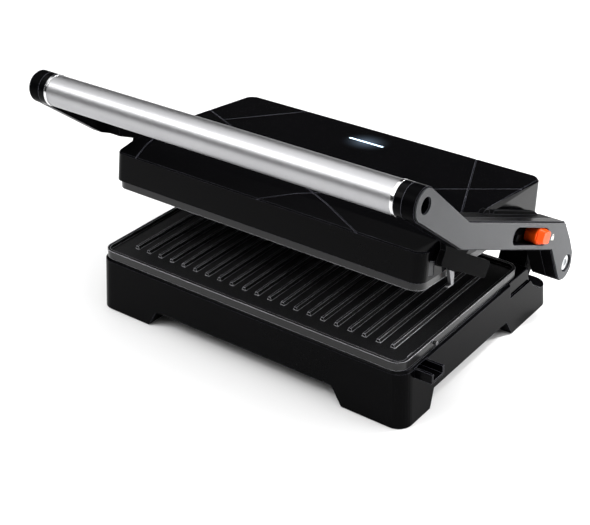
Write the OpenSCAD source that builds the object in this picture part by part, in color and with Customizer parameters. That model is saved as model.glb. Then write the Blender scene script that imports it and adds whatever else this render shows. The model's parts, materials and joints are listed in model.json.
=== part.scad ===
// Two-plate panini press: base with a ribbed lower plate, a floating lid with a ribbed
// upper plate, and a yoke of two side arms joined by a tubular handle. Millimetres, +Z up,
// resting on Z = 0. The arms are modelled at the serving angle, part-way open.

/* [Base] */
// Width of the lower housing across its top edge
base_w = 270; // [269:0.5:271]
// Depth of the lower housing along its top edge
base_d = 198.6; // [198:0.2:199.4]
// Height of the lower housing
base_h = 43; // [42.8:0.1:43.2]
// Plan radius of the vertical corners
base_r = 11; // [10:0.5:12]
// How far each wall leans outward at the floor
base_flare = 2.3; // [1.5:0.1:2.5]
// Wall thickness of both housings
wall = 2.4; // [2:0.1:2.6]
// Height of the arches between the four feet
foot_h = 14; // [13:0.5:14]

/* [Plates] */
// Width of the lower plate over its rim
plate_w = 265; // [264:0.5:265]
// Depth of the lower plate over its rim
plate_d = 156; // [155:0.5:156]
// Height of the lower plate's rim above the table
rim_z = 49.5; // [49.4:0.1:49.6]
// Number of ribs on each plate
rib_count = 21; // [15:2:21]
// Distance between neighbouring ribs
rib_pitch = 11.4; // [11:0.1:11.4]
// Height of a rib
rib_h = 2.4; // [2:0.1:2.4]

/* [Lid] */
// Width of the upper housing
lid_w = 265.4; // [264.8:0.2:265.4]
// Depth of the upper housing
lid_d = 160; // [159.6:0.2:160.2]
// How far the lid leans back at the serving angle, degrees
lid_tilt = 5.5; // [5.4:0.1:5.6]
// Depth of the decorative grooves in the lid
groove_t = 0.7; // [0.5:0.1:0.8]

/* [Yoke] */
// Outer radius of the handle tube
handle_r = 11; // [10.5:0.1:11]
// Half the length of the handle tube
handle_half = 142; // [141:0.5:142]
// Outer face of each arm from the centre plane
arm_x = 157.5; // [157:0.1:157.5]
// Radius of the hinge pins
pin_r = 4; // [3.8:0.1:4]
// Radius of the lid's pivot pins
pivot_r = 3; // [2.8:0.1:3]
// Running clearance between a pin and its bore
run = 0.05; // [0.03:0.01:0.08]

/* [Hidden] */
$fn = 96;
base_cy = 10;            // the base's centre lies this far behind the origin
top_t = 2.4;             // skin of the lower housing's top ledge
cover_z = 14.1;          // underside of the bottom cover
plate_cy = -20;          // plate centre in the base's own frame
floor_z = rim_z - 2.9;   // cooking floor of the lower plate
plate_under = 40.9;      // underside of the lower plate's casting
upper_w = 263;           // upper plate over its rim
upper_d = 145;
upper_cy = 73;           // its centre, back from its front edge
rib_len = 120;
rib_base = 3.8;          // width at the root
rib_crest = 1.8;         // width at the top
rim_t = 2.4;
hinge = [81.1, 48.8];    // main pivot, [Y, Z] in the base's frame
lid_pivot = [-47, 104.5];
lug_out = 140.4;         // outer face of the lug that carries the lid's pivot
bar_c = [-34.9, 97.7];   // centre of the hanger bar
bar_l = 70;
bar_fall = 32.5;
grip = [-116.5, 180];    // handle axis
lid_o = [-78.7, 93.3];   // lower front edge of the upper plate
chan_r = 26.5;           // hinge channel across the back of the base
chan = [95, 43.3];
arm_in = 147.6;          // inner face of the arm beam
cover_in = 136.2;        // inner face of the arm's inner cover
ridge_out = 139.7;       // outer face of the ridge on that cover
panel_t = 1.2;           // trim panel on the arm's outer face
arm_out = arm_x - panel_t - 0.1;
slope = 24.6;            // fall of the arm's straight run, degrees
slot_c = [20.9, 97.9];
slot_l = 57.8;
slot_h = 12.6;
key_l = 17.5;            // button length along the slot
key_h = 11.6;            // button height across the slot
key_s = 17.8;            // button centre from the slot centre, towards the back
post_x = 70;
post_y = [-60, 28];
bolt_x = 124.5;
bolt_y = 60;
leg_in = 109;            // inner end of each hinge leg
leg_out = 131;
hook_x = 133.35;
hook_t = 2.4;
recess_r = 6.9;          // recess round the hinge pin's head
// The lid's pivot in lid coordinates.
piv_u = (lid_pivot[0] - lid_o[0]) * cos(lid_tilt) - (lid_pivot[1] - lid_o[1]) * sin(lid_tilt);
piv_w = (lid_pivot[0] - lid_o[0]) * sin(lid_tilt) + (lid_pivot[1] - lid_o[1]) * cos(lid_tilt);
gland_x = -108;          // cord bushing in the rear left foot
gland_z = 8.3;
gland_r = 3.4;
foot_gap = 0.5;          // the rubber pads hold the housing this far off the table
pad_r = 7;
screw_r = 1.45;          // shank of every housing screw
drain = [128.6, -80];    // grease slot against the right rim, [X, Y]
drain_w = 2.4;
heat_r = 3.3;            // heating element's sheath
finger_a = 120;          // rest direction of the stop cam's finger
finger_l = 26;
finger_half = 2.6;
finger_hub = 7.6;
stroke = 17.2;           // how far the yoke turns from the serving angle to closed
stem_w = -4.1;           // the button's stem below the slot's centre line
black = [0.02, 0.02, 0.023];
steel = [0.72, 0.73, 0.74];

// ---------------------------------------------------------------- helpers

// Everything is drawn in the base's frame and then moved back over the origin.
module base_frame() {
    translate([0, base_cy, 0]) children();
}

// Lid coordinates: X across, Y back from the plate's front edge, Z up from its ribs.
module lid_frame() {
    base_frame() translate([0, lid_o[0], lid_o[1]]) rotate([-lid_tilt, 0, 0]) children();
}

module rrect(w, d, r) {
    square([w - 2 * r, d], center = true);
    square([w, d - 2 * r], center = true);
    for (x = [-1, 1], y = [-1, 1]) {
        translate([x * (w / 2 - r), y * (d / 2 - r)]) circle(r = r);
    }
}

// Extrudes a [Y, Z] profile along X.
module across(x0, x1) {
    translate([x0, 0, 0]) rotate([90, 0, 90]) linear_extrude(height = x1 - x0) children();
}

// Cylinder along X about a [Y, Z] centre.
module xcyl(x0, x1, c, r) {
    translate([x0, c[0], c[1]]) rotate([0, 90, 0]) cylinder(r = r, h = x1 - x0);
}

// A box between two corners.
module span(a, b) {
    translate(a) cube(b - a);
}

// Mirrors across the centre plane when side is -1.
module side(s) {
    mirror([s < 0 ? 1 : 0, 0, 0]) children();
}

// ---------------------------------------------------------------- base

module housing_outer() {
    hull() {
        for (x = [-1, 1], y = [-1, 1]) {
            translate([x * (base_w / 2 + base_flare - base_r), y * (base_d / 2 + base_flare - base_r),
                       foot_gap])
                cylinder(r = base_r, h = 0.2, $fn = 32);
            translate([x * (base_w / 2 - base_r), y * (base_d / 2 - base_r), base_h - 2])
                cylinder(r = base_r, h = 0.2, $fn = 32);
            translate([x * (base_w / 2 - base_r - 0.6), y * (base_d / 2 - base_r - 0.6), base_h - 1])
                cylinder(r1 = base_r, r2 = base_r - 0.9, h = 1, $fn = 32);
        }
    }
}

// The full-width hollow across the back that the hinges sit in.
module hinge_channel(grow) {
    xcyl(-160, 160, chan, chan_r + grow);
    span([-160, chan[0], chan[1] - chan_r - grow], [160, 140, 90]);
}

module housing_cavity() {
    difference() {
        translate([0, -5.4, cover_z - 0.1])
            linear_extrude(height = base_h - top_t - cover_z + 0.1)
                rrect(base_w - 2 * wall, 182.8, base_r - wall);
        hinge_channel(wall);
    }
}

module foot_arches() {
    rotate([90, 0, 0]) linear_extrude(height = 260, center = true)
        polygon([[-88.6, -1], [88.6, -1], [79, foot_h], [-79, foot_h]]);
    across(-170, 170)
        polygon([[-69.1, -1], [44.7, -1], [36, foot_h], [-62.9, foot_h]]);
}

module foot_hollows() {
    for (x = [-1, 1]) {
        translate([x * 111, -84, 2.6]) linear_extrude(height = 12) rrect(40, 24, 5);
        translate([x * 111, 71.5, 2.6]) linear_extrude(height = 12) rrect(40, 49, 5);
    }
}

// Cantilever that carries a hinge pin out over the channel.
module bracket_profile(grow) {
    translate(hinge) circle(r = 9 + grow);
    polygon([[74.5 - grow, 55 + grow], [68 - grow, 40.3 + grow], [54 - grow, 40.3 + grow],
             [54 - grow, 16.1 - grow], [66 + grow, 16.1 - grow], [68 + grow, 24 - grow],
             [88 + grow, 43.6 - grow]]);
}

module lower_housing() {
    color(black) base_frame() difference() {
        housing_outer();
        housing_cavity();
        hinge_channel(0);
        foot_arches();
        foot_hollows();
        translate([0, plate_cy, base_h - 6])
            linear_extrude(height = 10) rrect(plate_w - 10, plate_d - 8, 7);
        // way out for the drip spout, and the grease slot's passage down to it
        span([130, -86, 33.8], [141, -70, 41.6]);
        translate([drain[0], drain[1], 39]) linear_extrude(height = 6) rrect(drain_w + 1, 8, 1);
        for (s = [-1, 1]) {
            side(s) across(leg_in - 0.2, leg_out + 0.2) bracket_profile(0.2);
            // shallow step beside the hinge leg
            side(s) span([133.9, 41, 31], [141, 72, 44]);
            // screwdriver access through the foot
            translate([s * bolt_x, bolt_y, -1]) cylinder(r = 4, h = 5);
            for (y = [-84, 78]) {
                translate([s * 110, y, 0]) cylinder(r = pad_r + 0.1, h = 1.6);
            }
        }
        translate([gland_x, 90, gland_z]) rotate([-90, 0, 0]) cylinder(r = 5.1, h = 20);
    }
}

module bottom_cover() {
    color([0.05, 0.05, 0.05]) base_frame() difference() {
        union() {
            translate([0, -6, cover_z])
                linear_extrude(height = 1.8) rrect(base_w - 2 * wall - 1, 180.4, 7);
            for (s = [-1, 1], y = post_y) {
                translate([s * post_x, y, cover_z + 1]) cylinder(r = 5, h = 14.4);
            }
        }
        for (s = [-1, 1], y = post_y) {
            translate([s * post_x, y, cover_z - 1]) cylinder(r = 1.9, h = 20);
        }
        for (s = [-1, 1]) {
            translate([s * bolt_x, bolt_y, cover_z - 1]) cylinder(r = 1.9, h = 4);
        }
        // cooling slots
        for (i = [-6:6]) {
            translate([i * 8, -18, cover_z - 1]) linear_extrude(height = 4) rrect(3, 44, 1.4);
        }
    }
}

module foot_pads() {
    color([0.09, 0.09, 0.09]) base_frame() for (s = [-1, 1], y = [-84, 78]) {
        translate([s * 110, y, 0]) cylinder(r = pad_r, h = 1.5);
    }
}

// Pan-head screw standing on its head, head centred at the origin's underside.
module screw_up(length) {
    difference() {
        cylinder(r = 3.2, h = 2);
        translate([-0.5, -2.3, -1]) cube([1, 4.6, 1.8]);
        translate([-2.3, -0.5, -1]) cube([4.6, 1, 1.8]);
    }
    translate([0, 0, 1.9]) cylinder(r = screw_r, h = length);
}

module cover_screws() {
    color(steel) base_frame() for (s = [-1, 1], y = post_y) {
        translate([s * post_x, y, cover_z - 2.1]) screw_up(24);
    }
}

module bracket_screws() {
    color(steel) base_frame() for (s = [-1, 1]) {
        translate([s * bolt_x, bolt_y, cover_z - 2.1]) screw_up(14);
    }
}

module lower_plate() {
    color([0.13, 0.13, 0.135]) base_frame() {
        difference() {
            union() {
                translate([0, plate_cy, base_h + 0.1])
                    linear_extrude(height = rim_z - base_h - 0.1) rrect(plate_w, plate_d, 9);
                translate([0, plate_cy, plate_under])
                    linear_extrude(height = 3) rrect(plate_w - 12, plate_d - 11, 6);
                for (s = [-1, 1], y = post_y) {
                    translate([s * post_x, y, 29.7]) cylinder(r = 4.5, h = 12);
                }
                // keeper for the storage hook
                xcyl(plate_w / 2 - 1, 135.7, [-60.1, 47.5], 1.3);
            }
            translate([0, plate_cy, floor_z])
                linear_extrude(height = 10) rrect(plate_w - 2 * rim_t, plate_d - 2 * rim_t, 6);
            for (s = [-1, 1], y = post_y) {
                translate([s * post_x, y, 28]) cylinder(r = screw_r + 0.05, h = 12);
            }
            translate([drain[0], drain[1], 38])
                linear_extrude(height = 12) rrect(drain_w, 7, drain_w / 2 - 0.05);
        }
        for (i = [0:rib_count - 1]) {
            translate([(i - (rib_count - 1) / 2) * rib_pitch, plate_cy + rib_len / 2, floor_z - 0.2])
                rotate([90, 0, 0]) linear_extrude(height = rib_len)
                    polygon([[-rib_base / 2, 0], [rib_base / 2, 0],
                             [rib_crest / 2, rib_h + 0.2], [-rib_crest / 2, rib_h + 0.2]]);
        }
    }
}

// Hairpin element: two straight runs and a half turn, with thin cold pins.
module heater(gap, x_end, x_bend) {
    for (s = [-1, 1]) {
        translate([x_end, s * gap / 2, 0]) rotate([0, 90, 0]) cylinder(r = heat_r, h = x_bend - x_end);
        translate([x_end - 9, s * gap / 2, 0]) rotate([0, 90, 0]) cylinder(r = 1.3, h = 9.5);
    }
    translate([x_bend, 0, 0]) rotate([0, 0, -90])
        rotate_extrude(angle = 180) translate([gap / 2, 0]) circle(r = heat_r);
}

module lower_heater() {
    color([0.35, 0.34, 0.33]) base_frame()
        translate([0, plate_cy, plate_under - heat_r - 0.1]) heater(60, -84, 75);
}

module pan(w, d, h) {
    difference() {
        linear_extrude(height = h) rrect(w, d, 6);
        translate([0, 0, 0.8]) linear_extrude(height = h) rrect(w - 1.6, d - 1.6, 5.2);
    }
}

module lower_reflector() {
    color([0.75, 0.75, 0.76]) base_frame() difference() {
        translate([0, plate_cy, 26.4]) pan(220, 130, 6);
        for (s = [-1, 1], y = post_y) {
            translate([s * post_x, y, 25]) cylinder(r = 6.2, h = 4);
        }
    }
}

module thermostat() {
    color([0.8, 0.78, 0.7]) base_frame() translate([0, plate_cy, 30]) {
        cylinder(r = 9, h = 6);
        cylinder(r = 4, h = plate_under - 30.1);
        for (s = [-1, 1]) {
            translate([s * 12, -1.5, 1]) cube([7, 3, 0.9], center = true);
        }
    }
}

module terminal_block() {
    color([0.85, 0.84, 0.8]) base_frame() translate([-60, 52, 16]) {
        difference() {
            translate([-16, -7, 0]) cube([32, 14, 11]);
            for (x = [-10, 0, 10]) {
                translate([x, 0, 4]) cylinder(r = 2.2, h = 8);
                translate([x, -8, 3]) rotate([-90, 0, 0]) cylinder(r = 1.8, h = 16);
            }
        }
    }
}

module cord_gland() {
    color([0.06, 0.06, 0.06]) base_frame() translate([gland_x, 92, gland_z]) rotate([-90, 0, 0])
        difference() {
            union() {
                cylinder(r = 5.6, h = 3.8);
                cylinder(r = 5, h = 16);
                translate([0, 0, 9.6]) cylinder(r = 6.3, h = 1.8);
            }
            translate([0, 0, -1]) cylinder(r = gland_r, h = 18);
        }
}

module drip_spout() {
    color(black) base_frame() difference() {
        union() {
            span([115, -85.4, 34.2], [148, -70.6, 40]);
            span([134, -85.4, 34.2], [148, -70.6, 41.3]);
            span([128.8, -88, 31.6], [131.6, -68, 40]);
        }
        span([117, -83.6, 35.9], [150, -72.4, 45]);
    }
}

module hinge_bracket(s) {
    color([0.05, 0.05, 0.055]) base_frame() side(s) difference() {
        across(leg_in, leg_out) bracket_profile(0);
        xcyl(116.9, 140, hinge, pin_r + 0.01);
        translate([bolt_x, bolt_y, 15]) cylinder(r = screw_r + 0.05, h = 14);
    }
}

module hinge_bracket_left() {
    hinge_bracket(-1);
}

module hinge_bracket_right() {
    hinge_bracket(1);
}

// Shoulder pin, fixed in the bracket; its head sits in the arm's counterbore.
module hinge_pin(s) {
    color(steel) base_frame() side(s) difference() {
        union() {
            xcyl(117, 154, hinge, pin_r);
            xcyl(153.8, 156.2, hinge, 5.6);
        }
        translate([154.9, hinge[0], hinge[1]]) rotate([0, 90, 0]) cylinder(r = 3, h = 3, $fn = 6);
    }
}

module hinge_pin_left() {
    hinge_pin(-1);
}

module hinge_pin_right() {
    hinge_pin(1);
}

// ---------------------------------------------------------------- stop cams

module finger_profile() {
    translate(hinge) {
        circle(r = finger_hub);
        rotate(finger_a) translate([0, -finger_half]) square([finger_l, 2 * finger_half]);
    }
}

module stop_cam(s) {
    color([0.5, 0.5, 0.52]) base_frame() side(s) difference() {
        union() {
            xcyl(131.3, 135.6, hinge, 10.2);
            xcyl(135.5, 143, hinge, 6.2);
            across(142.9, 146.8) finger_profile();
        }
        xcyl(130, 150, hinge, pin_r + run);
    }
}

module stop_cam_left() {
    stop_cam(-1);
}

module stop_cam_right() {
    stop_cam(1);
}

// ---------------------------------------------------------------- yoke

// Side profile of the beam; inset pulls the outline in for the trim panel.
module beam_profile(inset) {
    translate(grip) circle(r = handle_r + 0.3 - inset);
    translate([79.4, 47.6]) circle(r = 11.6 - inset);
    polygon([[-123.7 + inset * 0.7, 171.5 + inset * 0.8], [-73 + inset * 0.2, 130.6 + inset],
             [55.1 + inset * 0.3, 71.4 + inset], [68.7 + inset, 43.2], [86 - inset, 39],
             [91 - inset, 47], [90.8 - inset, 54], [85.3 - inset, 66.4],
             [74.5 - inset * 0.8, 85.6 - inset], [-64.8, 147.2 - inset],
             [-109.2 - inset * 0.7, 188.5 - inset * 0.8]]);
}

module slot_profile(len, high) {
    translate(slot_c) rotate(-slope) rrect(len, high, high / 2 - 0.05);
}

module arm(s) {
    color(black) base_frame() side(s) difference() {
        across(arm_in, arm_out) beam_profile(0);
        xcyl(140, 160, hinge, pin_r + run);
        xcyl(153.5, 160, hinge, recess_r);
        xcyl(140, 160, grip, 2.6);
        xcyl(149.6, 160, grip, 5.5);
        if (s > 0) {
            across(140, 160) slot_profile(slot_l, slot_h);
        }
    }
}

module arm_left() {
    arm(-1);
}

module arm_right() {
    arm(1);
}

module arm_panel(s) {
    color([0.16, 0.165, 0.175]) base_frame() side(s) difference() {
        across(arm_x - panel_t, arm_x) beam_profile(0.9);
        xcyl(150, 160, hinge, recess_r);
        xcyl(150, 160, grip, 5.5);
        if (s > 0) {
            across(150, 160) slot_profile(slot_l, slot_h);
        }
    }
}

module arm_panel_left() {
    arm_panel(-1);
}

module arm_panel_right() {
    arm_panel(1);
}

// Space the stop finger needs as the yoke closes around it.
module finger_sweep(gap) {
    half = finger_half + gap;
    reach = norm([finger_l + gap, half]);
    fan = atan2(half, finger_l + gap);
    last = finger_a - stroke;
    step = (stroke + 2 * fan) / 8;
    translate(hinge) {
        circle(r = finger_hub + gap);
        polygon(concat([for (i = [0:8])
                           reach * [cos(finger_a + fan - i * step), sin(finger_a + fan - i * step)]],
                       [half * [cos(last - 90), sin(last - 90)],
                        half * [cos(finger_a + 90), sin(finger_a + 90)]]));
    }
}

// Inner shell: backs the beam, carries the lug for the lid and hides the stop.
module arm_cover(s) {
    color([0.035, 0.035, 0.04]) base_frame() side(s) difference() {
        union() {
            across(cover_in, arm_in - 0.2) {
                polygon([[-66, 127.7], [55.1, 71.4], [68.7, 43.2], [86, 39], [91, 47], [90.8, 54],
                         [85.3, 66.4], [74.5, 85.6], [-66, 147.8]]);
                translate([79.4, 47.6]) circle(r = 11.6);
            }
            // low ridge along the inner top edge
            across(cover_in, ridge_out) {
                polygon([[66, 89.3], [63.5, 91.8], [59, 95.3], [0.6, 121.2], [-2.4, 119.7], [-4, 115],
                         [60, 87]]);
                translate([-12, 121.5]) circle(r = 5.5);
            }
            across(cover_in, lug_out) {
                translate(lid_pivot) circle(r = 6.4);
                polygon([[-51.5, 108.6], [-47.5, 122], [-26, 112], [-41.5, 101.8]]);
            }
            if (s > 0) {
                // long hanger bar on the button's side
                across(cover_in, lug_out) {
                    translate(bar_c) rotate(-bar_fall) rrect(bar_l, 12.4, 3.4);
                    polygon([[-63, 128], [-61, 112], [-38, 98], [-38, 114]]);
                }
            }
        }
        xcyl(130, lug_out - 0.7, lid_pivot, pivot_r + run);
        xcyl(130, 143, hinge, 6.6);
        across(142.5, 150) finger_sweep(0.6);
        if (s > 0) {
            across(142.5, 150) translate(slot_c) rotate(-slope)
                translate([11, -4.9]) square([86, 6.6], center = true);
        }
    }
}

module arm_cover_left() {
    arm_cover(-1);
}

module arm_cover_right() {
    arm_cover(1);
}

module handle_tube() {
    color([0.7, 0.7, 0.71]) base_frame() difference() {
        xcyl(-handle_half, handle_half, grip, handle_r);
        xcyl(-160, 160, grip, handle_r - 1.5);
    }
}

module handle_rings() {
    color([0.85, 0.85, 0.86]) base_frame() for (s = [-1, 1]) {
        side(s) difference() {
            xcyl(handle_half - 2.2, handle_half, grip, handle_r + 0.35);
            xcyl(handle_half - 4, handle_half + 2, grip, handle_r + 0.02);
        }
    }
}

module end_cap(s) {
    color(black) base_frame() side(s) difference() {
        union() {
            xcyl(handle_half + 0.2, arm_in - 0.1, grip, handle_r + 0.3);
            xcyl(handle_half - 10, handle_half + 0.3, grip, handle_r - 1.6);
        }
        xcyl(120, 160, grip, 4.1);
    }
}

module end_cap_left() {
    end_cap(-1);
}

module end_cap_right() {
    end_cap(1);
}

module handle_rod() {
    color(steel) base_frame() difference() {
        xcyl(-147.3, 147.3, grip, 4);
        for (s = [-1, 1]) {
            side(s) xcyl(134, 150, grip, 2.35);
        }
    }
}

module handle_screws() {
    color(steel) base_frame() for (s = [-1, 1]) {
        side(s) difference() {
            union() {
                xcyl(138, 149.9, grip, 2.3);
                xcyl(149.7, 152.4, grip, 4.6);
            }
            translate([151, grip[0], grip[1]]) rotate([0, 90, 0]) cylinder(r = 2, h = 3, $fn = 6);
        }
    }
}

// ---------------------------------------------------------------- lid

// Height of the lid's outer skin above the ribs, u back from the front edge.
function top_w(u) = u < 19 ? 27.8 + (u - 0.9) * 0.188 : u < 89 ? 31.2 + (u - 19) / 35 : 33.2 - (u - 89) / 62;

// One ring of the lid's outer skin: four corners for a full ring, two for a half.
module ring(half, u_list, r, w) {
    for (s = [-1, 1], u = u_list) {
        translate([s * (half - r), u, w]) cylinder(r = r, h = 0.1, $fn = 32);
    }
}

module lid_outer() {
    hull() {
        ring(lid_w / 2, [6.8, lid_d + 0.2 - 8], 8, 6.2);
        ring(lid_w / 2, [8.2], 8, 26.8);
        ring(lid_w / 2 - 0.6, [8.3], 7.4, 27.7);
        ring(lid_w / 2 - 1.2, [19], 1, 31.1);
        ring(lid_w / 2 - 1.2, [89], 1, 33.1);
        ring(lid_w / 2 - 1.1, [lid_d - 8.9], 7.2, 31.9);
        ring(lid_w / 2, [lid_d - 8.4], 8, 30.4);
    }
}

// Straight groove between two [X, u] points, following the three slopes of the top.
module groove(a, b) {
    for (band = [[-4, 19], [19, 89], [89, 164]]) {
        lo = min(a[1], b[1]);
        u0 = max(lo, band[0]);
        u1 = min(max(a[1], b[1]), band[1]);
        if (u1 > u0 + 0.01) {
            x0 = a[0] + (b[0] - a[0]) * (u0 - a[1]) / (b[1] - a[1]);
            x1 = a[0] + (b[0] - a[0]) * (u1 - a[1]) / (b[1] - a[1]);
            run_l = norm([x1 - x0, u1 - u0]);
            rise = top_w(u1 - 0.001) - top_w(u0 + 0.001);
            translate([x0, u0, top_w(u0 + 0.001) - groove_t])
                rotate([0, 0, atan2(u1 - u0, x1 - x0)]) rotate([0, -atan2(rise, run_l), 0])
                    translate([0, -0.45, 0]) cube([run_l, 0.9, 4]);
        }
    }
}

module grille_profile(inset) {
    polygon([[8.4 + inset, 20.4 - inset], [14.6 - inset, 18.2 - inset],
             [14.6 - inset, 7.6 + inset], [8.4 + inset, 9.8 + inset]]);
}

module upper_housing() {
    color(black) lid_frame() difference() {
        lid_outer();
        difference() {
            translate([0, lid_d / 2, 8.6]) linear_extrude(height = 16.6) rrect(lid_w - 2 * wall, 154.8, 6);
            for (s = [-1, 1]) {
                translate([s * 17.5, 131, 25.7]) cylinder(r = 2, h = 6);
            }
        }
        difference() {
            translate([0, 88.5, 25]) linear_extrude(height = 4.2) rrect(lid_w - 2 * wall - 4, 133, 6);
            for (s = [-1, 1]) {
                translate([s * 17.5, 131, 25.8]) cylinder(r = 2, h = 6);
            }
        }
        translate([0, upper_cy, 5]) linear_extrude(height = 5) rrect(238, 134, 6);
        for (s = [-1, 1]) {
            side(s) xcyl(126, 136, [piv_u, piv_w], pivot_r + 0.6);
            side(s) across(lid_w / 2 - 1.2, 136) grille_profile(0);
        }
        span([-15.2, 129.9, 27], [15.2, 132.3, 36]);
        groove([-134, 107.2], [86, -2]);
        groove([-2, -2], [135, 131]);
        groove([-109, 94.4], [-73, 161]);
        groove([78, 161], [134, 37]);
        groove([-110.8, -2], [-133.6, 64]);
    }
}

module side_grilles() {
    color([0.22, 0.22, 0.23]) lid_frame() for (s = [-1, 1]) {
        side(s) across(lid_w / 2 - 1.1, lid_w / 2 - 0.35) grille_profile(0.15);
    }
}

module upper_plate() {
    color([0.17, 0.17, 0.175]) lid_frame() {
        difference() {
            union() {
                translate([0, upper_cy, 0]) linear_extrude(height = 6.1) rrect(upper_w, upper_d, 9);
                translate([0, upper_cy, 5]) linear_extrude(height = 6) rrect(234, 130, 5);
            }
            translate([0, upper_cy, -1])
                linear_extrude(height = 1 + rib_h + 0.8) rrect(upper_w - 2 * rim_t, upper_d - 2 * rim_t, 6);
        }
        for (i = [0:rib_count - 1]) {
            translate([(i - (rib_count - 1) / 2) * rib_pitch, upper_cy + rib_len / 2, 0.6])
                rotate([90, 0, 0]) linear_extrude(height = rib_len)
                    polygon([[-rib_crest / 2, 0], [rib_crest / 2, 0],
                             [rib_base / 2, rib_h + 0.4], [-rib_base / 2, rib_h + 0.4]]);
        }
    }
}

module upper_heater() {
    color([0.35, 0.34, 0.33]) lid_frame() translate([0, upper_cy, 11.1 + heat_r]) heater(60, -84, 75);
}

module upper_reflector() {
    color([0.75, 0.75, 0.76]) lid_frame() translate([0, upper_cy, 19]) pan(220, 120, 3.5);
}

module plate_clips() {
    color(steel) lid_frame() for (s = [-1, 1], u = [44, 108]) {
        side(s) translate([0, u + 5, 0]) rotate([90, 0, 0]) linear_extrude(height = 10)
            polygon([[112, 11.1], [117.5, 11.1], [117.5, 8.7], [124, 8.7], [124, 9.7], [118.5, 9.7],
                     [118.5, 12.1], [112, 12.1]]);
    }
}

module pivot_bracket(s) {
    color([0.45, 0.45, 0.46]) lid_frame() side(s) difference() {
        span([124.4, 20, 8.7], [130.2, 42, 24]);
        xcyl(115, 140, [piv_u, piv_w], pivot_r + 0.01);
    }
}

module pivot_bracket_left() {
    pivot_bracket(-1);
}

module pivot_bracket_right() {
    pivot_bracket(1);
}

module pivot_pin(s) {
    color(steel) base_frame() side(s) {
        xcyl(121.5, lug_out - 1.1, lid_pivot, pivot_r);
        xcyl(120.2, 124.2, lid_pivot, pivot_r + 2);
    }
}

module pivot_pin_left() {
    pivot_pin(-1);
}

module pivot_pin_right() {
    pivot_pin(1);
}

module led_lens() {
    color([0.75, 0.88, 1]) lid_frame() span([-15, 130, 26.8], [15, 132.2, 32.35]);
}

module led_board() {
    color([0.1, 0.3, 0.15]) lid_frame() {
        span([-21, 124, 24.2], [21, 138, 25.6]);
        for (x = [-12:6:12]) {
            translate([x - 1.2, 130, 25.5]) cube([2.4, 2.2, 1.2]);
        }
    }
}

// ---------------------------------------------------------------- lock and hook

module lock_button() {
    color([0.9, 0.3, 0.1]) base_frame() translate([0, slot_c[0], slot_c[1]]) rotate([-slope, 0, 0]) {
        translate([0, key_s, 0]) across(148.4, 156.6) rrect(key_l, key_h, 5.4);
        hull() {
            translate([0, key_s, 0]) across(156.5, 157.2) rrect(key_l - 3, key_h - 0.6, 3);
            translate([0, key_s + 2.6, 0]) across(159.6, 160.2) rrect(key_l - 7, key_h - 3, 2);
        }
        translate([0, key_s, stem_w]) {
            across(145.6, 148.6) circle(r = 1.9);
            across(143.2, 145.7) circle(r = 1.1);
        }
    }
}

module lock_tongue() {
    color(steel) base_frame() translate([0, slot_c[0], slot_c[1]]) rotate([-slope, 0, 0]) difference() {
        span([143.1, 6, -7], [145.5, 51, -2.2]);
        xcyl(140, 150, [key_s, stem_w], 1.15);
    }
}

// Storage hook, hung on the lid's right pivot pin.
module latch_hook() {
    color([0.4, 0.4, 0.42]) base_frame() difference() {
        across(hook_x, hook_x + hook_t) {
            translate(lid_pivot) {
                circle(r = 5.4);
                polygon([[1.4, -19], [-2, -18.6], [-2.2, -19.8], [4.5, -20.5], [5, -1.7], [-2.1, -3.7]]);
            }
        }
        xcyl(130, 140, lid_pivot, pivot_r + run);
    }
}

// ---------------------------------------------------------------- selection

lower_housing();
bottom_cover();
foot_pads();
cover_screws();
bracket_screws();
lower_plate();
lower_heater();
lower_reflector();
thermostat();
terminal_block();
cord_gland();
drip_spout();
hinge_bracket_left();
hinge_bracket_right();
hinge_pin_left();
hinge_pin_right();
stop_cam_left();
stop_cam_right();
arm_left();
arm_right();
arm_cover_left();
arm_cover_right();
arm_panel_left();
arm_panel_right();
handle_tube();
handle_rings();
end_cap_left();
end_cap_right();
handle_rod();
handle_screws();
upper_housing();
upper_plate();
upper_heater();
upper_reflector();
plate_clips();
pivot_bracket_left();
pivot_bracket_right();
pivot_pin_left();
pivot_pin_right();
side_grilles();
led_lens();
led_board();
lock_button();
lock_tongue();
latch_hook();
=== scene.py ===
"""Visual model of the panini press: materials, one printed mark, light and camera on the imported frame."""
import json
import math

import bmesh
import bpy
from mathutils import Matrix, Vector


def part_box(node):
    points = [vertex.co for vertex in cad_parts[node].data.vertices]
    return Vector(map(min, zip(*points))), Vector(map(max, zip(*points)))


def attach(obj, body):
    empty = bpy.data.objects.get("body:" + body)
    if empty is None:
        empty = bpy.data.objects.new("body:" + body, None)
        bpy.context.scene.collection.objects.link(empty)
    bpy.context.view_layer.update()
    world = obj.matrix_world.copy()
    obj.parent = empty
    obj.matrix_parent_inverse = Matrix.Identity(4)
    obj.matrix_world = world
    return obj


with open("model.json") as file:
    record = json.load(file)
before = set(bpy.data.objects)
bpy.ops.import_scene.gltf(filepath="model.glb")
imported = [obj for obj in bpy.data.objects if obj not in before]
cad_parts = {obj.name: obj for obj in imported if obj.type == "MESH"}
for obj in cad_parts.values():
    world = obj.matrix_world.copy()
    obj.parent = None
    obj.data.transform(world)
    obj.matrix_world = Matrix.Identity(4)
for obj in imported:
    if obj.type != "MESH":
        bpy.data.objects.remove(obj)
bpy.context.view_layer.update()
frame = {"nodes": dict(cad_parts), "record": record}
nodes = frame["nodes"]
scene = bpy.context.scene
scene.view_settings.view_transform = "Standard"


# ---------------------------------------------------------------- materials

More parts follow.
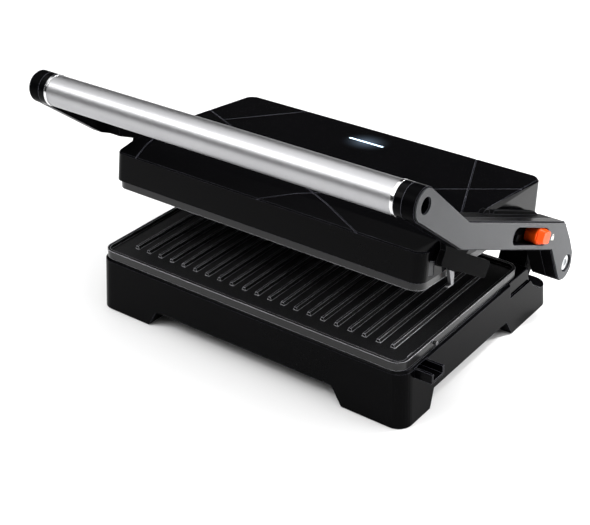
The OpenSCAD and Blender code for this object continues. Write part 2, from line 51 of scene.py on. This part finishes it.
class Nodes:
    """Small helper around a material's node tree."""

    def __init__(self, name):
        self.mat = bpy.data.materials.new(name)
        self.mat.use_nodes = True
        self.tree = self.mat.node_tree
        self.shader = self.tree.nodes["Principled BSDF"]

    def add(self, kind, **values):
        node = self.tree.nodes.new(kind)
        for key, value in values.items():
            setattr(node, key, value)
        return node

    def link(self, out, into):
        self.tree.links.new(out, into)

    def coords(self, stretch=(1, 1, 1)):
        """The piece's own coordinates in metres, stretched along its axes."""
        coord = self.add("ShaderNodeTexCoord")
        mapping = self.add("ShaderNodeMapping")
        mapping.inputs["Scale"].default_value = stretch
        self.link(coord.outputs["Object"], mapping.inputs["Vector"])
        return mapping.outputs["Vector"]

    def noise(self, vector, scale, detail=3.0, rough=0.55):
        tex = self.add("ShaderNodeTexNoise")
        tex.inputs["Scale"].default_value = scale
        tex.inputs["Detail"].default_value = detail
        tex.inputs["Roughness"].default_value = rough
        self.link(vector, tex.inputs["Vector"])
        return tex.outputs["Fac"]

    def span(self, value, low, high, start=0.0, end=1.0):
        """Maps value from start..end to low..high."""
        node = self.add("ShaderNodeMapRange")
        for key, number in (("From Min", start), ("From Max", end), ("To Min", low), ("To Max", high)):
            node.inputs[key].default_value = number
        self.link(value, node.inputs["Value"])
        return node.outputs["Result"]

    def math(self, operation, a, b):
        node = self.add("ShaderNodeMath", operation=operation)
        for socket, value in ((node.inputs[0], a), (node.inputs[1], b)):
            if isinstance(value, (int, float)):
                socket.default_value = value
            else:
                self.link(value, socket)
        return node.outputs[0]

    def mix(self, factor, a, b):
        """Blends two colours, each a tuple or another node's output."""
        node = self.add("ShaderNodeMix", data_type="RGBA")
        self.link(factor, node.inputs[0])
        for socket, value in ((node.inputs[6], a), (node.inputs[7], b)):
            if isinstance(value, tuple):
                socket.default_value = value + (1.0,)
            else:
                self.link(value, socket)
        return node.outputs[2]


CLOUD_SCALE = 26.0       # noise scales are per metre: clouds of colour are centimetres across
RUB_SCALE = 190.0        # rubbed patches are millimetres across
FLICKER_SCALE = 420.0    # unevenness of a lit surface
MIDDLE = (0.3, 0.7)      # the part of a noise that carries most of its values
RUBBED = (0.60, 0.78)    # noise in which a patch passes from unrubbed to rubbed dull
SPECKLED = (0.35, 0.65)  # fine noise in which the light speckles come up
SPECKLE_SHARE = 0.35
SPREAD = 0.15            # unevenness of roughness and of glow, as a share
EDGE_LEAN = (0.8, 0.985)  # cosine between rounded and flat normal: full edge lightening (wear and painted highlight), none
RELIEF_HEIGHT = 0.00012  # metres


def shade(tint, factor):
    return tuple(min(1.0, c * factor) for c in tint)


def edge_wear_and_highlight(n, rounded, cloud, wear_and_highlight_patches):
    """Mask along the edges, patchy with the clouds, for edge wear and a painted edge highlight."""
    flat = n.add("ShaderNodeNewGeometry")
    lean = n.add("ShaderNodeVectorMath", operation="DOT_PRODUCT")
    n.link(rounded, lean.inputs[0])
    n.link(flat.outputs["Normal"], lean.inputs[1])
    edges = n.span(lean.outputs["Value"], 1.0, 0.0, *EDGE_LEAN)
    return n.math("MULTIPLY", edges, n.span(cloud, *wear_and_highlight_patches, *MIDDLE))


def finish_material(name, tint, rough, metallic=0.0, specular=0.5, vary=0.12, grain=1400.0, bump=0.15,
                    stretch=(1, 1, 1), edge_wear_highlight_gain=1.8, edge_mm=0.5, wear_and_highlight_patches=(0.25, 0.75), scuff=0.05, emission=None):
    """Moulded or metal surface: cloudy colour, grain in roughness and bump, rubs, and edges lightened as wear
    and as a painted highlight.
    """
    n = Nodes(name)
    shader = n.shader
    plain = n.coords()
    cloud = n.noise(plain, CLOUD_SCALE, 4.0)
    fine = n.noise(n.coords(stretch), grain, 4.0, 0.6)
    bevel = n.add("ShaderNodeBevel", samples=4)
    bevel.inputs["Radius"].default_value = edge_mm / 1000
    rounded = bevel.outputs["Normal"]

    colour = n.mix(n.span(cloud, 0.0, 1.0, *MIDDLE), shade(tint, 1 - vary), shade(tint, 1 + vary))
    colour = n.mix(n.span(fine, 0.0, SPECKLE_SHARE, *SPECKLED), colour, shade(tint, 1 + vary * 1.5))
    # edges drawn lighter: a little wear on the metals, a strong painted highlight on the black plastics and
    # the coated casting
    colour = n.mix(edge_wear_and_highlight(n, rounded, cloud, wear_and_highlight_patches), colour, shade(tint, edge_wear_highlight_gain))
    n.link(colour, shader.inputs["Base Color"])

    rub = n.span(n.noise(plain, RUB_SCALE, 6.0, 0.7), 0.0, 1.0, *RUBBED)
    even = n.span(fine, rough * (1 - SPREAD), rough * (1 + SPREAD), *MIDDLE)
    n.link(n.math("ADD", even, n.math("MULTIPLY", rub, scuff)), shader.inputs["Roughness"])

    relief = n.add("ShaderNodeBump")
    relief.inputs["Strength"].default_value = bump
    relief.inputs["Distance"].default_value = RELIEF_HEIGHT
    n.link(fine, relief.inputs["Height"])
    n.link(rounded, relief.inputs["Normal"])
    n.link(relief.outputs["Normal"], shader.inputs["Normal"])

    shader.inputs["Metallic"].default_value = metallic
    shader.inputs["Specular IOR Level"].default_value = specular
    if emission:
        light, power = emission
        cells = n.noise(plain, FLICKER_SCALE, 2.0)
        flicker = n.span(cells, power * (1 - SPREAD), power * (1 + SPREAD), *MIDDLE)
        shader.inputs["Emission Color"].default_value = light + (1.0,)
        n.link(flicker, shader.inputs["Emission Strength"])
    return n


# The edge gain sets how much lighter the edges are drawn: on the black plastics and the coated casting it is
# a painted highlight along edges, grooves and ribs, on the metals a little wear.
LOOKS = {
    "gloss_black": dict(tint=(0.0014, 0.0014, 0.0017), rough=0.14, specular=0.03, grain=700.0, bump=0.02,
                        edge_wear_highlight_gain=150.0, edge_mm=0.4, wear_and_highlight_patches=(0.45, 0.9), scuff=0.04),
    "matte_black": dict(tint=(0.0022, 0.0022, 0.0024), rough=0.42, specular=0.004, grain=2600.0, bump=0.25,
                        edge_wear_highlight_gain=60.0, edge_mm=0.4),
    "panel_grey": dict(tint=(0.036, 0.037, 0.04), rough=0.42, specular=0.1, grain=2200.0, bump=0.2,
                       edge_wear_highlight_gain=9.0),
    "coated_casting": dict(tint=(0.0085, 0.0085, 0.009), rough=0.3, specular=0.3, grain=3200.0, bump=0.18,
                           edge_wear_highlight_gain=110.0, edge_mm=0.6, wear_and_highlight_patches=(0.7, 1.0), scuff=0.1),
    "handle_aluminium": dict(tint=(0.4, 0.4, 0.41), rough=0.4, metallic=1.0, grain=900.0, bump=0.05,
                             stretch=(0.35, 1.0, 1.0), edge_wear_highlight_gain=1.1, vary=0.05, scuff=0.05),
    "polished": dict(tint=(0.8, 0.8, 0.81), rough=0.14, metallic=1.0, grain=500.0, bump=0.02, edge_wear_highlight_gain=1.1,
                     vary=0.04),
    "steel": dict(tint=(0.45, 0.46, 0.47), rough=0.3, metallic=1.0, grain=900.0, bump=0.15, edge_wear_highlight_gain=1.3,
                  vary=0.08),
    "black_steel": dict(tint=(0.03, 0.03, 0.032), rough=0.35, metallic=0.8, grain=900.0, bump=0.15,
                        edge_wear_highlight_gain=4.0),
    "zinc": dict(tint=(0.14, 0.14, 0.145), rough=0.42, metallic=0.9, grain=900.0, bump=0.25, edge_wear_highlight_gain=1.8),
    "element": dict(tint=(0.16, 0.15, 0.14), rough=0.5, metallic=0.8, grain=700.0, bump=0.3, edge_wear_highlight_gain=1.3,
                    vary=0.25),
    "reflector": dict(tint=(0.6, 0.6, 0.61), rough=0.24, metallic=1.0, grain=300.0, bump=0.2, edge_wear_highlight_gain=1.1,
                      stretch=(1.0, 12.0, 1.0)),
    "rubber": dict(tint=(0.02, 0.02, 0.02), rough=0.75, specular=0.3, grain=2000.0, bump=0.5, edge_wear_highlight_gain=1.6),
    "ceramic_white": dict(tint=(0.66, 0.64, 0.58), rough=0.55, grain=1600.0, bump=0.25, edge_wear_highlight_gain=1.2,
                          vary=0.06),
    "orange": dict(tint=(0.74, 0.065, 0.003), rough=0.35, specular=0.08, grain=1500.0, bump=0.08, edge_wear_highlight_gain=1.4,
                   vary=0.05),
    "led": dict(tint=(0.75, 0.88, 1.0), rough=0.25, grain=900.0, bump=0.05, edge_wear_highlight_gain=1.1, vary=0.04,
                emission=((0.5, 0.74, 1.0), 3.0)),
    "board": dict(tint=(0.02, 0.12, 0.045), rough=0.4, grain=1200.0, bump=0.2, edge_wear_highlight_gain=1.6),
}

HALO_TINT = (0.55, 0.74, 1.0)
HALO_START, HALO_REACH = 0.004, 0.021    # metres from the middle of the strip lamp
HALO_FALL = 2.4
HALO_STRENGTH = 0.16


def lid_material():
    """Glossy lid on which the strip lamp throws a soft halo."""
    n = finish_material("lid_black", **{**LOOKS["gloss_black"], "specular": 0.045})
    lens_low, lens_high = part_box("led_lens")
    away = n.add("ShaderNodeVectorMath", operation="DISTANCE")
    n.link(n.coords(), away.inputs[0])
    away.inputs[1].default_value = (lens_low + lens_high) / 2
    near = n.span(away.outputs["Value"], 1.0, 0.0, HALO_START, HALO_REACH)
    halo = n.math("MULTIPLY", n.math("POWER", near, HALO_FALL), HALO_STRENGTH)
    n.link(halo, n.shader.inputs["Emission Strength"])
    n.shader.inputs["Emission Color"].default_value = HALO_TINT + (1.0,)
    return n


def arm_material():
    """Duller than the lid, so that the arms' sloping tops stay dark at a low angle."""
    return finish_material("arm_black", **{**LOOKS["gloss_black"], "specular": 0.01, "rough": 0.3})


looks = {name: finish_material(name, **values) for name, values in LOOKS.items()}
arm_look = arm_material()
own_look = {"upper_housing": lid_material(), "arm_left": arm_look, "arm_right": arm_look}
slot_of = {part["node"]: part["material_slot"] for part in frame["record"]["subparts"]}
for name, obj in nodes.items():
    obj.data.materials.clear()
    obj.data.materials.append(own_look.get(name, looks[slot_of[name]]).mat)


# ---------------------------------------------------------------- printed mark

def printed_mark(name, outlines, origin, along, across, depth):
    """Thin print on a flat face: outlines in (along, across) metres from origin, depth thick."""
    mesh = bmesh.new()
    out = along.cross(across).normalized() * depth
    for outline in outlines:
        low = [mesh.verts.new(origin + along * a + across * b) for a, b in outline]
        high = [mesh.verts.new(v.co + out) for v in low]
        mesh.faces.new(low[::-1])
        mesh.faces.new(high)
        for i, start in enumerate(low):
            j = (i + 1) % len(low)
            mesh.faces.new((start, low[j], high[j], high[i]))
    bmesh.ops.recalc_face_normals(mesh, faces=mesh.faces)
    data = bpy.data.meshes.new(name)
    mesh.to_mesh(data)
    mesh.free()
    piece = bpy.data.objects.new(name, data)
    scene.collection.objects.link(piece)
    return piece


ARM_SLOPE = math.radians(24.6)    # fall of the arm's straight run
MARK_OFFSET = 0.0192              # from the lock button's middle towards the hinge
MARK_SINK = 0.00002               # into the panel, so that no gap shows
MARK_DEPTH = 0.00008
CASE_HALF = 0.0021                # half the padlock's width
CASE_LOW, CASE_TOP = -0.0024, 0.00035
SHACKLE_UP = 0.0005
SHACKLE_OUT, SHACKLE_IN = 0.0015, 0.0009
SHACKLE_STEPS = 8


def padlock_outlines():
    """The case as a rectangle and the shackle as a half ring."""
    case = [(-CASE_HALF, CASE_LOW), (CASE_HALF, CASE_LOW), (CASE_HALF, CASE_TOP), (-CASE_HALF, CASE_TOP)]
    turns = [math.pi * k / SHACKLE_STEPS for k in range(SHACKLE_STEPS + 1)]
    shackle = [(r * math.cos(t), SHACKLE_UP + r * math.sin(t))
               for r, order in ((SHACKLE_OUT, turns), (SHACKLE_IN, turns[::-1])) for t in order]
    return [case, shackle]


def add_lock_mark():
    """A plain padlock printed on the right arm's panel, between the lock button and the hinge."""
    button_low, button_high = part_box("lock_button")
    middle = (button_low + button_high) / 2
    panel_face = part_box("arm_panel_right")[1][0]
    along = Vector((0, math.cos(ARM_SLOPE), -math.sin(ARM_SLOPE)))
    across = Vector((0, math.sin(ARM_SLOPE), math.cos(ARM_SLOPE)))
    origin = Vector((panel_face - MARK_SINK, middle.y, middle.z)) + along * MARK_OFFSET
    mark = printed_mark("lock_mark", padlock_outlines(), origin, along, across, MARK_DEPTH)
    mark.data.materials.append(looks["ceramic_white"].mat)
    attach(mark, "yoke")


add_lock_mark()


# ---------------------------------------------------------------- light, floor and camera

# name, place, target, size and power (m, W)
AREA_LAMPS = (
    ("key", (-0.7, -1.0, 1.2), (0, 0, 0.08), (0.9, 0.7), 8),
    ("side", (1.3, 0.5, 0.6), (0.1, 0, 0.08), (0.9, 0.6), 7),
    # two small lamps that draw thin bright lines along the rounded edges
    ("edge_right", (0.73, 0.82, 0.68), (0.13, 0, 0.06), (0.16, 0.16), 12),
    ("edge_front", (-0.69, -0.65, 0.95), (0, -0.1, 0.08), (0.16, 0.16), 2.5),
)
BOUNCE_AT, BOUNCE_TO = (0.55, 0.3, 1.0), (0.3, 0.2, 0)
BOUNCE_POWER = 135
BOUNCE_CONE = math.radians(24)
BOUNCE_RADIUS = 0.12
CEILING = (("From Min", 0.55), ("From Max", 0.85), ("To Min", 0.03), ("To Max", 2.1))
FLOOR_SIZE = 12
PAPER_TONES = ((0.83, 0.83, 0.83), (0.87, 0.87, 0.87))
CAMERA_AT = (0.49185, -0.6613, 0.5180)
AZIMUTH, ELEVATION, ROLL = math.radians(37.71), math.radians(30.11), math.radians(-1.24)
LENS_MM, SENSOR_MM = 78.35, 36


def lamp(name, kind, place, target, power):
    """Adds a lamp turned towards target and returns its light data."""
    light = bpy.data.lights.new(name, kind)
    light.energy = power
    holder = bpy.data.objects.new(name, light)
    scene.collection.objects.link(holder)
    holder.location = place
    holder.rotation_euler = (Vector(target) - Vector(place)).to_track_quat("-Z", "Y").to_euler()
    return light


def add_lamps():
    for name, place, target, size, power in AREA_LAMPS:
        light = lamp(name, "AREA", place, target, power)
        light.shape = "RECTANGLE"
        light.size, light.size_y = size
    # lights the floor behind the right side, which is what the right-hand faces mirror
    bounce = lamp("bounce", "SPOT", BOUNCE_AT, BOUNCE_TO, BOUNCE_POWER)
    bounce.spot_size = BOUNCE_CONE
    bounce.spot_blend = 1.0
    bounce.shadow_soft_size = BOUNCE_RADIUS


def add_world():
    """Bright ceiling that fades towards the horizon, so that glossy tops stay black; seen directly, white."""
    world = bpy.data.worlds.new("studio")
    world.use_nodes = True
    tree = world.node_tree
    backdrop = tree.nodes["Background"]
    where = tree.nodes.new("ShaderNodeTexCoord")
    split = tree.nodes.new("ShaderNodeSeparateXYZ")
    fade = tree.nodes.new("ShaderNodeMapRange")
    fade.interpolation_type = "SMOOTHSTEP"
    for key, number in CEILING:
        fade.inputs[key].default_value = number
    tree.links.new(where.outputs["Generated"], split.inputs[0])
    tree.links.new(split.outputs["Z"], fade.inputs["Value"])
    seen = tree.nodes.new("ShaderNodeLightPath")
    choose = tree.nodes.new("ShaderNodeMix")
    tree.links.new(seen.outputs["Is Camera Ray"], choose.inputs[0])
    tree.links.new(fade.outputs["Result"], choose.inputs[2])
    choose.inputs[3].default_value = 1.0
    tree.links.new(choose.outputs[0], backdrop.inputs["Strength"])
    backdrop.inputs["Color"].default_value = (1.0, 1.0, 1.0, 1.0)
    scene.world = world


def add_floor():
    """A large sheet of matt, nearly white paper."""
    bpy.ops.mesh.primitive_plane_add(size=FLOOR_SIZE, location=(0, 0, 0))
    floor = bpy.context.object
    floor.name = "floor"
    paper = Nodes("paper")
    tone = paper.mix(paper.noise(paper.coords(), 3.0), *PAPER_TONES)
    paper.link(tone, paper.shader.inputs["Base Color"])
    paper.shader.inputs["Roughness"].default_value = 0.9
    paper.shader.inputs["Specular IOR Level"].default_value = 0.1
    floor.data.materials.append(paper.mat)


def add_camera():
    """Camera on the front right, above; azimuth is measured from the front, towards the right side."""
    level = math.cos(ELEVATION)
    back = Vector((math.sin(AZIMUTH) * level, -math.cos(AZIMUTH) * level, math.sin(ELEVATION)))
    right = (-back).cross(Vector((0, 0, 1))).normalized()
    up = right.cross(-back)
    x_axis = right * math.cos(ROLL) + up * math.sin(ROLL)
    y_axis = -right * math.sin(ROLL) + up * math.cos(ROLL)
    data = bpy.data.cameras.new("camera")
    data.lens = LENS_MM
    data.sensor_width = SENSOR_MM
    data.clip_end = 50
    camera = bpy.data.objects.new("camera", data)
    scene.collection.objects.link(camera)
    turn = Matrix((x_axis, y_axis, back)).transposed().to_4x4()
    camera.matrix_world = Matrix.Translation(CAMERA_AT) @ turn
    scene.camera = camera


add_world()
add_lamps()
add_floor()
add_camera()
